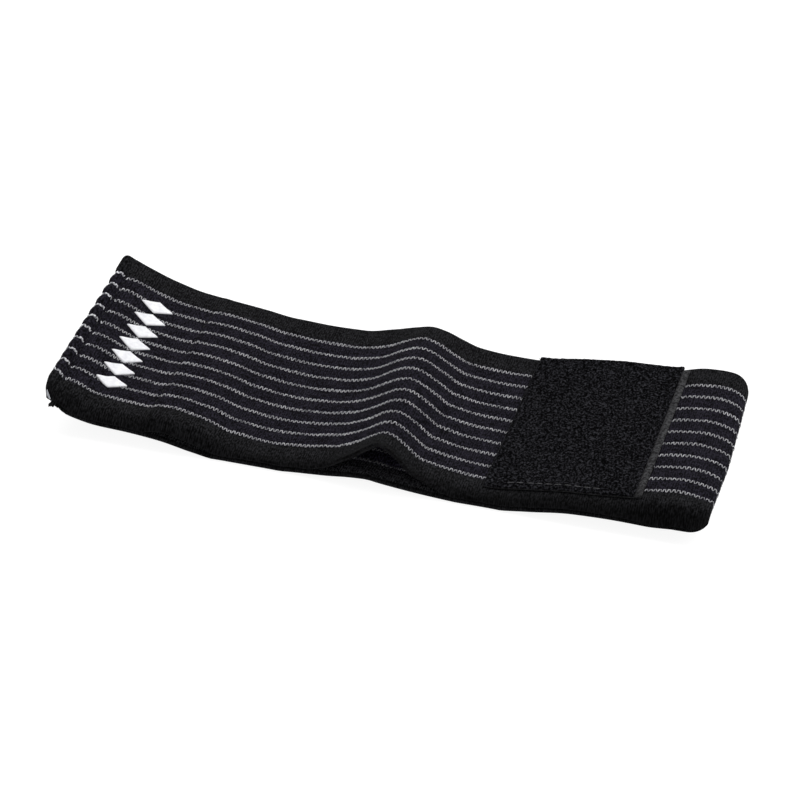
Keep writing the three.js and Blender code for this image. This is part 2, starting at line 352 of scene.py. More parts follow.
def band_place(along, across, height):
    """Points at a length along the band, a place across it and a height over its mid-line, and the
    direction of height there. Straight interpolation in the table of mid-lines, then a step to the left.
    All four corners are rounded: a quarter circle draws the edge in towards the left end and the fold,
    and the cloth beside it with the fourth power of its place. Nothing goes below the floor.
    The hem's end is drawn out to the left, most at its corners, by the square of the way left to a line."""
    along, across, height = np.broadcast_arrays(along, across, height)
    i = np.clip(np.searchsorted(path_length, along) - 1, 0, len(path_length) - 2)
    t = ((along - path_length[i]) / (path_length[i + 1] - path_length[i]))[..., None]
    column = (across / half_width + 1) / 2 * (len(table_columns) - 1)
    j = np.clip(np.floor(column).astype(int), 0, len(table_columns) - 2)
    u = (column - j)[..., None]
    middle, left = [
        (table[i, j] * (1 - u) + table[i, j + 1] * u) * (1 - t)
        + (table[i + 1, j] * (1 - u) + table[i + 1, j + 1] * u) * t for table in (mid_line, mid_left)]
    left /= np.linalg.norm(left, axis=-1, keepdims=True)
    tip = np.interp(across, table_columns * half_width, fold_x + fold_reach)
    drawn = np.zeros(across.shape)
    left_corner = np.where(across < 0, np.interp(along, front_corner_along, front_corners), back_corner)
    for corner, way in ((left_corner, middle[..., 0] - left_end - half_thickness),
                        (fold_corner, tip - middle[..., 0])):
        short = np.clip(corner - way, 0, corner)
        drawn = drawn + (corner - np.sqrt(corner**2 - short**2)) * np.abs(across / half_width)**4
    near_end = np.clip(1 - (middle[..., 0] - left_end) / left_reach_length, 0, 1)**2
    reach = np.interp(across, left_reach_place, left_reach) * near_end * (along < fold_from)
    place = middle + left * height[..., None]
    points = np.stack([place[..., 0] - reach, across - np.sign(across) * drawn,
                       np.maximum(place[..., 1], floor_room)], axis=-1)
    return points, np.stack([left[..., 0], np.zeros(across.shape), left[..., 1]], axis=-1)


# The cloth sinks a little along each of its ten stripes and stands out between them, most of all round
# the hem's turned edge, which looks scalloped towards the back. The seams pull a groove across it.
stripe_count, stripe_pitch = 10, 6.36
last_stripe = (stripe_count - 1) / 2
stripe_sink, crown_power = 0.26, 0.75
hem_scallop, scallop_place, scallop_length = [0.10, 0.80], [-28.6, 28.6], 2.2
hem_seam = along_upper(left_end + 3.8)
hook_seam = along_upper(left_end + 33.3)
hem_seam_depth, hem_seam_width, hook_seam_depth, hook_seam_width = 0.85, 1.0, 0.4, 0.6
stitch_pitch, between_stitches = 3.0, 0.7
shallow_place, shallow_share = [30, 35], [1, 0.2]
seam_swell, swell_place, swell_length = 0.16, 1.6, 1.5
selvage_radius, selvage_reach = 0.8, 0.75


def out_of_stripe(across):
    """How far a place is from the nearest stripe: 0 on it, 1 half a pitch away and all over the margins."""
    nearest = np.clip(np.round(across / stripe_pitch + last_stripe), 0, stripe_count - 1)
    return np.minimum(np.abs(across - (nearest - last_stripe) * stripe_pitch) / (stripe_pitch / 2), 1)


def seam_pull(along, across):
    """The depth of the grooves: a bell curve over each seam, with a cosine from stitch to stitch, and
    shallow at the back edge. The cloth swells up a little beyond the hook tape's seam."""
    wave = np.cos(2 * np.pi * across / stitch_pitch)
    stitch = (1 + between_stitches) / 2 + (1 - between_stitches) / 2 * wave
    hem_groove = hem_seam_depth * bell(along - hem_seam, hem_seam_width)
    hook_groove = hook_seam_depth * bell(along - hook_seam, hook_seam_width)
    swell = seam_swell * bell(along - hook_seam - swell_place, swell_length)
    return (hem_groove + hook_groove) * stitch * np.interp(across, shallow_place, shallow_share) - swell


def stripe_trough(across):
    """How much of the stripes' sinking a place takes: 1 on a stripe, and less by a sine, raised to the
    crown's power, towards half a pitch away."""
    return 1 - np.sin(np.pi / 2 * out_of_stripe(across))**crown_power


def outer_height(along, across):
    """Height of the outer face over the mid-line: half the thickness, less the stripes' sinking and the
    seams' pull, with a bell curve of deeper scallops round the hem's edge, deepest at the back."""
    scallop = np.interp(across, scallop_place, hem_scallop) * bell(along - hem_edge, scallop_length)
    return half_thickness - (stripe_sink + scallop) * stripe_trough(across) - seam_pull(along, across)


def inner_height(across):
    """Height of the inner face over the mid-line: half the thickness down, less the stripes' sinking."""
    return -half_thickness + stripe_sink * stripe_trough(across)


def edge_share(across):
    """The share of the thickness that is left near the band's rounded edges: a quarter circle."""
    short = np.clip((np.abs(across) - half_width - selvage_reach + selvage_radius) / selvage_radius, 0, 1)
    return np.sqrt(1 - short**2)


def closed_sheet(over, under):
    """Points and faces of a closed sheet between two grids of points, with walls round the rim."""
    rows, columns = over.shape[:2]
    top = np.arange(rows * columns).reshape(rows, columns)
    low = top + rows * columns

    def strip(a, b):
        """One row of faces between two lines of points."""
        return np.stack([a[:-1], b[:-1], b[1:], a[1:]], axis=-1).reshape(-1, 4)

    faces = [np.stack([top[:-1, :-1], top[1:, :-1], top[1:, 1:], top[:-1, 1:]], axis=-1).reshape(-1, 4),
             np.stack([low[:-1, :-1], low[:-1, 1:], low[1:, 1:], low[1:, :-1]], axis=-1).reshape(-1, 4),
             strip(top[:, 0], low[:, 0]), strip(low[:, -1], top[:, -1]),
             strip(low[0], top[0]), strip(top[-1], low[-1])]
    return np.concatenate([over.reshape(-1, 3), under.reshape(-1, 3)]), faces


def give_cloth_place(piece, along, across):
    """Gives each point of a closed sheet its place on the cloth, in millimetres, with the face in z."""
    one_face = np.stack([along, across], axis=-1).reshape(-1, 2)
    both = np.concatenate([np.column_stack([one_face, np.full(len(one_face), side)]) for side in (1, -1)])
    place = piece.data.attributes.new("cloth", "FLOAT_VECTOR", "POINT")
    place.data.foreach_set("vector", both.astype(np.float32).ravel())


# The sheet's grid: columns close together at each stripe and round the edges, and rows close together
# round the hem, the seams, the fold and both ends.
margin_columns = np.array([29.2, 29.8, 30.6, 31.7, 33.2, 34.6, 35.7, 36.6])
edge_turn = np.radians([0, 25, 45, 62, 75, 84])
edge_columns = half_width + selvage_reach - selvage_radius * (1 - np.sin(edge_turn))
one_pitch = np.array([0, 0.07, 0.16, 0.29, 0.5, 0.71, 0.84, 0.93]) * stripe_pitch
stripe_columns = np.add.outer((np.arange(stripe_count - 1) - last_stripe) * stripe_pitch, one_pitch).ravel()
outer_side = np.concatenate([margin_columns, edge_columns])
band_columns = np.concatenate([-outer_side[::-1], stripe_columns, [last_stripe * stripe_pitch], outer_side])
seam_rows = np.array([-2.4, -1.6, -1.0, -0.6, -0.3, 0, 0.3, 0.6, 1.0, 1.6, 2.4])
seam_room, upper_step, lower_step = 2.9, 1.3, 1.8
upper_even = np.arange(hem_turn_to + 0.5, fold_from, upper_step)
seam_way = np.minimum(np.abs(upper_even - hem_seam), np.abs(upper_even - hook_seam))
band_rows = np.sort(np.concatenate([
    [0, 0.1, 0.35], np.linspace(1, hem_turn_from, 4), np.linspace(hem_turn_from, hem_turn_to, 16)[1:],
    upper_even[seam_way > seam_room], hem_seam + seam_rows, hook_seam + seam_rows,
    np.linspace(fold_from, fold_to, 26), np.arange(fold_to + 1.7, band_length - 1, lower_step),
    band_length - np.array([0.9, 0.35, 0.1, 0])]))
end_rounding, thinnest = 0.4, 0.97
end_gap = np.minimum(band_rows, band_length - band_rows)
end_share = np.sqrt(1 - np.clip(1 - end_gap / end_rounding, 0, thinnest)**2)[:, None]
row_grid, column_grid = np.meshgrid(band_rows, band_columns, indexing="ij")
band_share = edge_share(column_grid) * end_share
band_over, _ = band_place(row_grid, column_grid, outer_height(row_grid, column_grid) * band_share)
band_under, _ = band_place(row_grid, column_grid, inner_height(column_grid) * band_share)


def feed(material, socket, value):
    """Gives an input a fixed value, or links it to another node's output."""
    if isinstance(value, bpy.types.NodeSocket):
        material.node_tree.links.new(value, socket)
    else:
        socket.default_value = value


def read_cloth(material):
    """The place on the cloth, as one vector and as its parts: along, across and face."""
    cloth = material.node_tree.nodes.new("ShaderNodeAttribute")
    cloth.attribute_name = "cloth"
    parts = material.node_tree.nodes.new("ShaderNodeSeparateXYZ")
    feed(material, parts.inputs["Vector"], cloth.outputs["Vector"])
    return cloth.outputs["Vector"], parts.outputs["X"], parts.outputs["Y"], parts.outputs["Z"]


def add_bands(material, place, direction, pitch, distortion, detail=2, detail_scale=1):
    """Even bands at a pitch, pushed about by a noise. The texture repeats every 2 pi / (20 scale)."""
    bands = material.node_tree.nodes.new("ShaderNodeTexWave")
    bands.bands_direction = direction
    scale = 2 * math.pi / (20 * pitch)
    for name, value in zip(("Vector", "Scale", "Distortion", "Detail", "Detail Scale"),
                           (place, scale, distortion, detail, detail_scale)):
        feed(material, bands.inputs[name], value)
    return bands.outputs["Fac"]


def add_noise(material, place, scale, detail, roughness=0.5):
    """A noise of a scale, in lumps to each unit of place."""
    noise = material.node_tree.nodes.new("ShaderNodeTexNoise")
    for name, value in zip(("Vector", "Scale", "Detail", "Roughness"), (place, scale, detail, roughness)):
        feed(material, noise.inputs[name], value)
    return noise.outputs["Fac"]


def calculate(material, operation, *values, clamp=False):
    """The result of one operation on values and outputs. MULTIPLY_ADD: first times second, plus third."""
    result = material.node_tree.nodes.new("ShaderNodeMath")
    result.operation, result.use_clamp = operation, clamp
    for socket, value in zip(result.inputs, values):
        feed(material, socket, value)
    return result.outputs["Value"]


def map_range(material, value, before, after):
    """A value carried over in a straight line from one pair of ends to another, and held beyond them."""
    result = material.node_tree.nodes.new("ShaderNodeMapRange")
    for name, given in zip(("Value", "From Min", "From Max", "To Min", "To Max"), (value, *before, *after)):
        feed(material, result.inputs[name], given)
    return result.outputs["Result"]


def two_tone(material, value, places, dark, light):
    """A colour that runs from dark to light between two places on the way of a value."""
    ramp = material.node_tree.nodes.new("ShaderNodeValToRGB")
    for stop, place, colour in zip(ramp.color_ramp.elements, places, (dark, light)):
        stop.position, stop.color = place, (*colour, 1)
    feed(material, ramp.inputs["Fac"], value)
    return ramp.outputs["Color"]


def scale_colour(material, colour, share):
    """A colour times a share."""
    result = material.node_tree.nodes.new("ShaderNodeVectorMath")
    result.operation = "SCALE"
    feed(material, result.inputs[0], colour)
    feed(material, result.inputs["Scale"], share)
    return result.outputs["Vector"]


def add_relief(material, shader, height, depth):
    """Lets a height of a depth in millimetres bend the light on the cloth's face."""
    relief = material.node_tree.nodes.new("ShaderNodeBump")
    feed(material, relief.inputs["Strength"], 0.7)
    feed(material, relief.inputs["Distance"], depth * mm)
    feed(material, relief.inputs["Height"], height)
    feed(material, shader.inputs["Normal"], relief.outputs["Normal"])


# The elastic is knitted: fine ribs run across it, broken up into short ticks of light and dark. It is
# violet between the stripes and plain black along the margins. Painted shade makes it blackest where the
# upper layer's front edge rolls down, and painted light makes the lower layer's inner face lighter, where
# it lies in shade under the upper layer.
rib_pitch, rib_share, ticks_in_a_mm, patches_in_a_mm, patch_share = 0.74, 0.10, 1.9, 0.22, 0.18
tone_places = (0.54, 0.84)
violet_tones = (0.0004, 0.0003, 0.0006), (0.0245, 0.0225, 0.0330)
plain_tones = (0.0004, 0.0004, 0.0005), (0.0230, 0.0230, 0.0255)
elastic, shader = start_material("black_elastic", (0.008, 0.0075, 0.0105), 0.9, specular=0.05)
cloth, cloth_along, cloth_across, cloth_face = read_cloth(elastic)
ribs = add_bands(elastic, cloth, "X", rib_pitch, distortion=2.2, detail=1, detail_scale=1.4)
tick_place = elastic.node_tree.nodes.new("ShaderNodeMapping")
tick_place.inputs["Scale"].default_value = (1.0, 0.5, 1.0)
feed(elastic, tick_place.inputs["Vector"], cloth)
ticks = add_noise(elastic, tick_place.outputs["Vector"], ticks_in_a_mm, detail=2, roughness=0.7)
patches = add_noise(elastic, cloth, patches_in_a_mm, detail=2)
knit = calculate(elastic, "MULTIPLY_ADD", ribs, rib_share, ticks)
worn = calculate(elastic, "MULTIPLY_ADD", patches, patch_share, knit)
from_middle = calculate(elastic, "ABSOLUTE", cloth_across)
cloth_colour = elastic.node_tree.nodes.new("ShaderNodeMix")
cloth_colour.data_type = "RGBA"
feed(elastic, cloth_colour.inputs["Factor"], map_range(elastic, from_middle, (28.8, 30.0), (0, 1)))
feed(elastic, cloth_colour.inputs["A"], two_tone(elastic, worn, tone_places, *violet_tones))
feed(elastic, cloth_colour.inputs["B"], two_tone(elastic, worn, tone_places, *plain_tones))
# Painted shade: the upper layer's front edge darkens over its outer 3 mm, to 0.58 of its colour up to 100
# mm along the band and to 0.36 at the fold.
deepest_painted_shade = map_range(elastic, cloth_along, (100, fold_from), (0.58, 0.36))
painted_front_shade = map_range(elastic, cloth_across, (-36.6, -33.6), (deepest_painted_shade, 1))
# Painted light: on the lower layer the front edge's painted shade is lifted, and the inner face, which lies
# in shade under the upper layer, is made up to nearly six times lighter.
on_lower = map_range(elastic, cloth_along, (fold_to, fold_to + 60), (0, 0.55))
painted_edge_shade = calculate(elastic, "ADD", painted_front_shade, on_lower, clamp=True)
painted_inner_light = map_range(elastic, from_middle, (37.5, 36.8), (0, 8.5))
painted_light_on_inner_face = map_range(elastic, cloth_face, (0.6, -0.4), (0, painted_inner_light))
painted_inner_light_share = calculate(elastic, "MULTIPLY_ADD", painted_light_on_inner_face, on_lower, 1.0)
painted_light_and_shade_share = calculate(elastic, "MULTIPLY", painted_edge_shade, painted_inner_light_share)
cloth_colour_with_painted_light = scale_colour(elastic, cloth_colour.outputs["Result"], painted_light_and_shade_share)
feed(elastic, shader.inputs["Base Color"], cloth_colour_with_painted_light)
add_relief(elastic, shader, knit, depth=0.12)

band = mesh_piece("woven_band", *closed_sheet(band_over, band_under), elastic)
give_cloth_place(band, row_grid, column_grid)
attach(band, "root")
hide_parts("elastic_band")


# The ten stripes are white yarns, knitted in as a close zigzag on both faces. Each diagonal lies on top
# of the cloth and its turns sink into it. They are thicker and lighter round the hem's edge, and on the
# outer face they end under the loop tape.
yarn_thickness, yarn_swing, yarn_period, squareness = 0.38, 0.68, 1.4, 1.3
hem_bit_place, hem_bit_length, hem_bit_growth, hem_bit_narrowing = 1.6, 1.4, 1.15, 0.38
hem_dive, hook_dive, hem_dive_width, hook_dive_width = 1.5, 0.6, 0.5, 0.4
loop_tape_left = left_end + 142.0
loop_tape_right = loop_tape_left + 50.2


def tubes(points, up, radius, sides):
    """Points and faces of tubes along many lines at once, all with the same count of points.
    Each ring is its point + radius (cos(turn) side + sin(turn) top), with side = ahead x up."""
    ahead = np.gradient(points, axis=1)
    ahead /= np.linalg.norm(ahead, axis=-1, keepdims=True)
    side = np.cross(ahead, up)
    side /= np.linalg.norm(side, axis=-1, keepdims=True)
    top = np.cross(side, ahead)
    turn = 2 * np.pi * (np.arange(sides) + 0.5) / sides
    radius = np.broadcast_to(radius, points.shape[:2])[..., None, None]
    rings = points[:, :, None] + radius * (np.cos(turn)[:, None] * side[:, :, None]
                                           + np.sin(turn)[:, None] * top[:, :, None])
    index = np.arange(rings.size // 3).reshape(rings.shape[:3])
    here, there = index[:, :-1], index[:, 1:]
    walls = np.stack([here, there, np.roll(there, -1, axis=2), np.roll(here, -1, axis=2)], axis=-1)
    return rings.reshape(-1, 3), [walls.reshape(-1, 4), index[:, 0], index[:, -1, ::-1]]


def joined(parts):
    """Several sets of points and faces as one, each set's faces counted on from the sets before it."""
    counts = np.cumsum([0] + [len(points) for points, _ in parts])
    return (np.concatenate([points for points, _ in parts]),
            [table + start for (_, faces), start in zip(parts, counts) for table in faces])


def zigzag_yarns(start, end, face, per_period, sides, seed):
    """Ten tubes from start to end along the band. Across, each swings as a softened square wave,
    tanh(squareness sin(angle)), whose width and pace drift slowly; it stands highest halfway between
    turns. Every second tooth is weaker: half the wave's pace, a cosine, takes width and height away.
    At the two seams the yarns dive into the groove, and bell curves thicken and narrow them on the hem."""
    chance = np.random.default_rng(seed)
    along = np.linspace(start, end, int((end - start) / yarn_period * per_period))
    drift = chance.uniform(0, 2 * np.pi, (stripe_count, 4))[..., None]
    angle = 2 * np.pi * along / yarn_period + drift[:, 0] + 1.1 * np.sin(along / 5.3 + drift[:, 1])
    second_tooth = 0.5 + 0.5 * np.cos(angle / 2 + drift[:, 3])
    on_hem = bell(along - hem_edge - hem_bit_place, hem_bit_length)
    swing = yarn_swing * (1.0 + 0.18 * np.sin(along / 3.1 + drift[:, 2])
                          - 0.12 * second_tooth - hem_bit_narrowing * on_hem)
    wave = np.tanh(squareness * np.sin(angle)) / math.tanh(squareness)
    across = (np.arange(stripe_count)[:, None] - last_stripe) * stripe_pitch + swing * wave
    along = np.broadcast_to(along, across.shape)
    rising = np.cos(angle)**2
    dive = (hem_dive * bell(along - hem_seam, hem_dive_width)
            + hook_dive * bell(along - hook_seam, hook_dive_width))
    stand = yarn_thickness * (0.40 * rising + 0.18 - 0.30 * wave**4 - 0.20 * second_tooth
                              + 0.12 * np.sin(along / 1.9 + drift[:, 3]) - dive)
    surface = outer_height(along, across) if face > 0 else inner_height(across)
    points, up = band_place(along, across, surface + face * stand)
    radius = yarn_thickness / 2 * (0.62 + 0.45 * rising) * (1 + hem_bit_growth * on_hem)
    points[..., 2] = np.maximum(points[..., 2], radius)
    return tubes(points, up * face, radius, sides)


def mottled_material(name, dark, light, scale, roughness, specular, detail=2, reach=(0.32, 0.68)):
    """A material whose colour runs from dark to light with a noise in the piece's own coordinates: its
    scale is in lumps a metre, and reach is the part of the noise over which the colour changes. Gives
    the material, its shader, the coordinates and the colour."""
    material, shader = start_material(name, light, roughness, specular)
    place = material.node_tree.nodes.new("ShaderNodeTexCoord").outputs["Object"]
    tone = two_tone(material, add_noise(material, place, scale, detail), reach, dark, light)
    feed(material, shader.inputs["Base Color"], tone)
    return material, shader, place, tone


white_yarn, shader, yarn_place, tone = mottled_material(
    "white_yarn", dark=(0.08, 0.08, 0.09), light=(0.53, 0.53, 0.55), scale=900, roughness=0.6,
    specular=0.3, detail=3)
yarn_parts = white_yarn.node_tree.nodes.new("ShaderNodeSeparateXYZ")
feed(white_yarn, yarn_parts.inputs["Vector"], yarn_place)
on_hem_edge = map_range(white_yarn, yarn_parts.outputs["X"],
                        ((left_end + 5.0) * mm, (left_end + 3.6) * mm), (1.0, 1.7))
feed(white_yarn, shader.inputs["Base Color"], scale_colour(white_yarn, tone, on_hem_edge))

under_tape, yarn_end = 1.0, band_length - 0.8
outer_yarns = joined([
    zigzag_yarns(hem_turn_from - 1, along_upper(loop_tape_left) + under_tape,
                 face=1, per_period=8, sides=4, seed=11),
    zigzag_yarns(along_upper(loop_tape_right) - under_tape, yarn_end,
                 face=1, per_period=8, sides=4, seed=12)])
stripes_outside = mesh_piece("stripes_outside", *outer_yarns, white_yarn)
inner_yarns = zigzag_yarns(hem_turn_to + 29, yarn_end, face=-1, per_period=6, sides=3, seed=13)
stripes_inside = mesh_piece("stripes_inside", *inner_yarns, white_yarn)
for stripes in (stripes_outside, stripes_inside):
    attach(stripes, "root")


# The loop tape is a woven ground sewn flat on the outer face near the fold. Its right edge stays bare,
# as a broad and thick welt, which gets darker towards the front.
tape_front, tape_back = -half_width + 4.0, half_width - 1.2
tape_bottom, tape_top = 0.86, 1.55
left_selvage, right_selvage, tape_rim = 0.25, 2.5, 0.45
welt_place, welt_length, welt_height = 1.25, 1.1, 0.35
tuck_place, tuck_length, tuck_depth = 2.75, 0.3, 0.3
tape_from, tape_to = along_upper(loop_tape_left), along_upper(loop_tape_right)


def rim_lines(start, end, close, inset, count):
    """Grid lines from start to end: close together at both rims, and evenly spaced from inset to inset."""
    close, even = np.array(close), np.linspace(start + inset, end - inset, count)
    return np.concatenate([start + close, even, end - close[::-1]])


def rim_share(place, start, end, radius):
    """The share of the thickness left near a tape's rim: a quarter circle over the last radius."""
    short = np.clip(1 - np.minimum(place - start, end - place) / radius, 0, 0.96)
    return np.sqrt(1 - short**2)


tape_along = np.concatenate([
    tape_from + np.array([0, 0.06, 0.2, 0.45, 0.9, 1.4, 1.8, 2.1]),
    np.linspace(tape_from + 3.2, tape_to - 4.4, 36),
    tape_to - np.array([3.5, 3.2, 2.9, 2.5, 2.0, 1.5, 1.0, 0.6, 0.3, 0.1, 0])])
tape_across = rim_lines(tape_front, tape_back, [0, 0.06, 0.2, 0.45, 0.9], inset=1.8, count=44)
tape_rows, tape_columns = np.meshgrid(tape_along, tape_across, indexing="ij")
welt = np.exp(-((tape_rows - (tape_to - welt_place)) / welt_length)**4) * welt_height
tuck = bell(tape_rows - (tape_to - tuck_place), tuck_length) * tuck_depth
tape_share = (rim_share(tape_rows, tape_from, tape_to, tape_rim)
              * rim_share(tape_columns, tape_front, tape_back, tape_rim))
tape_middle = (tape_bottom + tape_top) / 2
tape_height = tape_middle + (tape_top - tape_middle + welt - tuck) * tape_share
tape_over, _ = band_place(tape_rows, tape_columns, tape_height)
tape_under, _ = band_place(tape_rows, tape_columns, tape_middle - (tape_middle - tape_bottom) * tape_share)

thread_pitch, thread_share, fibres_in_a_mm = 0.6, 0.12, 1.3
tape_weave, shader = start_material("tape_weave", (0.02, 0.02, 0.021), 0.8, specular=0.08)
cloth, _, cloth_across, _ = read_cloth(tape_weave)
threads = add_bands(tape_weave, cloth, "Y", thread_pitch, distortion=2.5)
fibres = add_noise(tape_weave, cloth, fibres_in_a_mm, detail=3)
weave = calculate(tape_weave, "MULTIPLY_ADD", threads, thread_share, fibres)
tone = two_tone(tape_weave, weave, (0.42, 0.72), dark=(0.006, 0.006, 0.0065), light=(0.058, 0.058, 0.061))
off_front_end = map_range(tape_weave, cloth_across, (-33.5, -26.0), (0.5, 1))
feed(tape_weave, shader.inputs["Base Color"], scale_colour(tape_weave, tone, off_front_end))
add_relief(tape_weave, shader, weave, depth=0.15)

loop_ground = mesh_piece("loop_ground", *closed_sheet(tape_over, tape_under), tape_weave)
give_cloth_place(loop_ground, tape_rows, tape_columns)
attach(loop_ground, "root")
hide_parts("loop_tape")


# The pile is a mat of fine curled nylon loops that stand on the tape as far as its bare welt. It looks
# dull black, with light specks where single loops catch the light, and it hangs over the back edge.
pile_from, pile_to = tape_from + left_selvage, tape_to - right_selvage
pile_front, pile_back = tape_front + 0.15, half_width + 1.0
mat_bottom, mat_top, mat_rim, mat_lumps = 1.5, 2.2, 0.5, 0.16
loop_count_along, loop_count_across, loop_stray, fibre_radius = 58, 88, 0.5, 0.062
chance = np.random.default_rng(21)

mat_along = np.linspace(pile_from, pile_to, 66)
mat_across = np.linspace(pile_front, pile_back, 98)
mat_rows, mat_columns = np.meshgrid(mat_along, mat_across, indexing="ij")
lumps = chance.uniform(-mat_lumps, mat_lumps, mat_rows.shape)
mat_share = (rim_share(mat_rows, pile_from, pile_to, mat_rim)
             * rim_share(mat_columns, pile_front, pile_back, mat_rim))
mat_over, _ = band_place(mat_rows, mat_columns, mat_bottom + (mat_top - mat_bottom + lumps) * mat_share)
mat_under_height = np.where(mat_columns > tape_back - 0.1, 0.88, mat_bottom - 0.15)
mat_under, _ = band_place(mat_rows, mat_columns, mat_under_height)

fibre_black = mottled_material(
    "fibre_black", dark=(0.0007, 0.0007, 0.0009), light=(0.031, 0.031, 0.036), scale=1500, roughness=0.8,
    specular=0.02, reach=(0.47, 0.64))[0]

pile_mat = mesh_piece("pile_mat", *closed_sheet(mat_over, mat_under), fibre_black)
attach(pile_mat, "root")
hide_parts("loop_pile")

loop_rows, loop_columns = np.meshgrid(
    np.linspace(pile_from + 0.3, pile_to - 0.3, loop_count_along),
    np.linspace(pile_front + 0.2, pile_back - 0.5, loop_count_across), indexing="ij")
loop_middle_along = loop_rows.ravel() + chance.uniform(-loop_stray, loop_stray, loop_rows.size)
loop_middle_across = loop_columns.ravel() + chance.uniform(-loop_stray, loop_stray, loop_rows.size)
loop_middle_across = np.minimum(loop_middle_across, half_width - 0.7)
loop_turn = chance.uniform(0, 2 * np.pi, loop_rows.size)
loop_span = chance.uniform(0.26, 0.52, loop_rows.size)
loop_rise = chance.uniform(0.30, 0.62, loop_rows.size)
loop_lean = chance.uniform(-0.55, 0.55, loop_rows.size)


def pile_loops(middle_along, middle_across, turn, span, rise, lean):
    """One arch of seven points for each loop: cos(angle) span along its own direction, sin(angle) rise
    over the mat, and sin(angle) lean to the side. Loops past the back edge hang down over it."""
    angle = np.linspace(0.05, 0.95, 7) * np.pi
    reach = np.cos(angle) * span[:, None]
    aside = np.sin(angle) * lean[:, None] + 0.12 * np.cos(2 * angle)
    along = middle_along[:, None] + reach * np.cos(turn)[:, None] - aside * np.sin(turn)[:, None]
    across = middle_across[:, None] + reach * np.sin(turn)[:, None] + aside * np.cos(turn)[:, None]
    height = mat_top - 0.15 + np.sin(angle) * rise[:, None]
    spill = np.clip(np.abs(across) - half_width - 0.2, 0, 1.0)
    on_band = np.clip(across, -half_width, half_width)
    points, up = band_place(along, on_band, height - 0.8 * spill)
    points[..., 1] += across - on_band
    tilt = np.stack([np.sin(turn), np.cos(turn), np.zeros(len(turn))], axis=-1)[:, None]
    return tubes(points, up + 0.35 * tilt, fibre_radius, sides=3)


loops = mesh_piece("pile_loops", *pile_loops(
    loop_middle_along, loop_middle_across, loop_turn, loop_span, loop_rise, loop_lean), fibre_black)
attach(loops, "root")


# The seams are sewn with thin thread: black across the hem, across the hook tape's end and round the
# loop tape, and one row of pale thread along the loop tape's front edge.
stitch_reach = 0.78 * stitch_pitch
thread_black = mottled_material("thread_black", dark=(0.004, 0.004, 0.005), light=(0.014, 0.014, 0.015),
                                scale=1400, roughness=0.6, specular=0.15)[0]
thread_pale = mottled_material("thread_pale", dark=(0.06, 0.06, 0.063), light=(0.14, 0.14, 0.145),
                               scale=1400, roughness=0.6, specular=0.2)[0]


def stitches(along_ends, across_ends, height, thickness):
    """One tube of seven points for each stitch between its two ends, arched: the middle lies on the
    cloth and both ends go into it, as 1 - (2t - 1)^4, and the thread thins to its ends as it goes in."""
    t = np.linspace(0, 1, 7)
    along = along_ends[:, :1] + (along_ends[:, 1:] - along_ends[:, :1]) * t
    across = across_ends[:, :1] + (across_ends[:, 1:] - across_ends[:, :1]) * t
    arch = 1 - (2 * t - 1)**4
    surface = height(along, across) if callable(height) else height
    points, up = band_place(along, across, surface + thickness * (0.75 * arch - 0.45))
    return tubes(points, up, thickness / 2 * (0.4 + 0.6 * arch), sides=6)


def row_across(along, start, end):
    """The ends of a row of stitches across the band at one place along it."""
    starts = np.arange(start, end, stitch_pitch)
    return np.full((len(starts), 2), along), np.stack([starts, starts + stitch_reach], axis=-1)


def row_along(across, start, end):
    """The ends of a row of stitches along the band at one place across it."""
    starts = np.arange(start, end - stitch_pitch, stitch_pitch)
    return np.stack([starts, starts + stitch_reach], axis=-1), np.full((len(starts), 2), across)


black_rows = joined([
    stitches(*row_across(hem_seam, -35.6, 35), outer_height, thickness=0.3),
    stitches(*row_across(hook_seam, -35.6, 35), outer_height, thickness=0.3),
    stitches(*row_across(tape_to - 2.9, tape_front + 1, 36), height=1.42, thickness=0.26),
    stitches(*row_across(tape_from + 1.0, tape_front + 1, 36), height=1.55, thickness=0.26)])
seams = mesh_piece("seams", *black_rows, thread_black)
pale_row = row_along(tape_front + 1.6, tape_from + 8, tape_to - 10)
front_row = mesh_piece("front_row", *stitches(*pale_row, height=2.6, thickness=0.18), thread_pale)
for sewing in (seams, front_row):
    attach(sewing, "root")


# The hook tape is sewn on the inner face beside the hem: a stiff grey ground with rows of small hooks
# that face the lower layer.
hook_start = upper_start + hem_length + 0.8
hook_from, hook_to = along_upper(hook_start), along_upper(hook_start + 27.0)
hook_half, hook_rim = 35.0, 0.3
hook_high, hook_low = -0.86, -1.5
hook_height, hook_swing, hook_radius, hook_rows_along, hook_rows_across = 0.72, 0.34, 0.07, 18, 46
hook_along = rim_lines(hook_from, hook_to, [0, 0.06, 0.2, 0.45], inset=1, count=24)
hook_across = rim_lines(-hook_half, hook_half, [0, 0.06, 0.2, 0.45], inset=1, count=40)
hook_rows, hook_columns = np.meshgrid(hook_along, hook_across, indexing="ij")
hook_share = (rim_share(hook_rows, hook_from, hook_to, hook_rim)
              * rim_share(hook_columns, -hook_half, hook_half, hook_rim))
hook_middle = (hook_high + hook_low) / 2
hook_over, _ = band_place(hook_rows, hook_columns, hook_middle + (hook_high - hook_middle) * hook_share)
hook_under, _ = band_place(hook_rows, hook_columns, hook_middle + (hook_low - hook_middle) * hook_share)

hook_grey = mottled_material("hook_grey", dark=(0.05, 0.05, 0.055), light=(0.11, 0.11, 0.12), scale=1200,
                             roughness=0.5, specular=0.3, reach=(0.3, 0.7))[0]
hook_ground = mesh_piece("hook_ground", *closed_sheet(hook_over, hook_under), hook_grey)

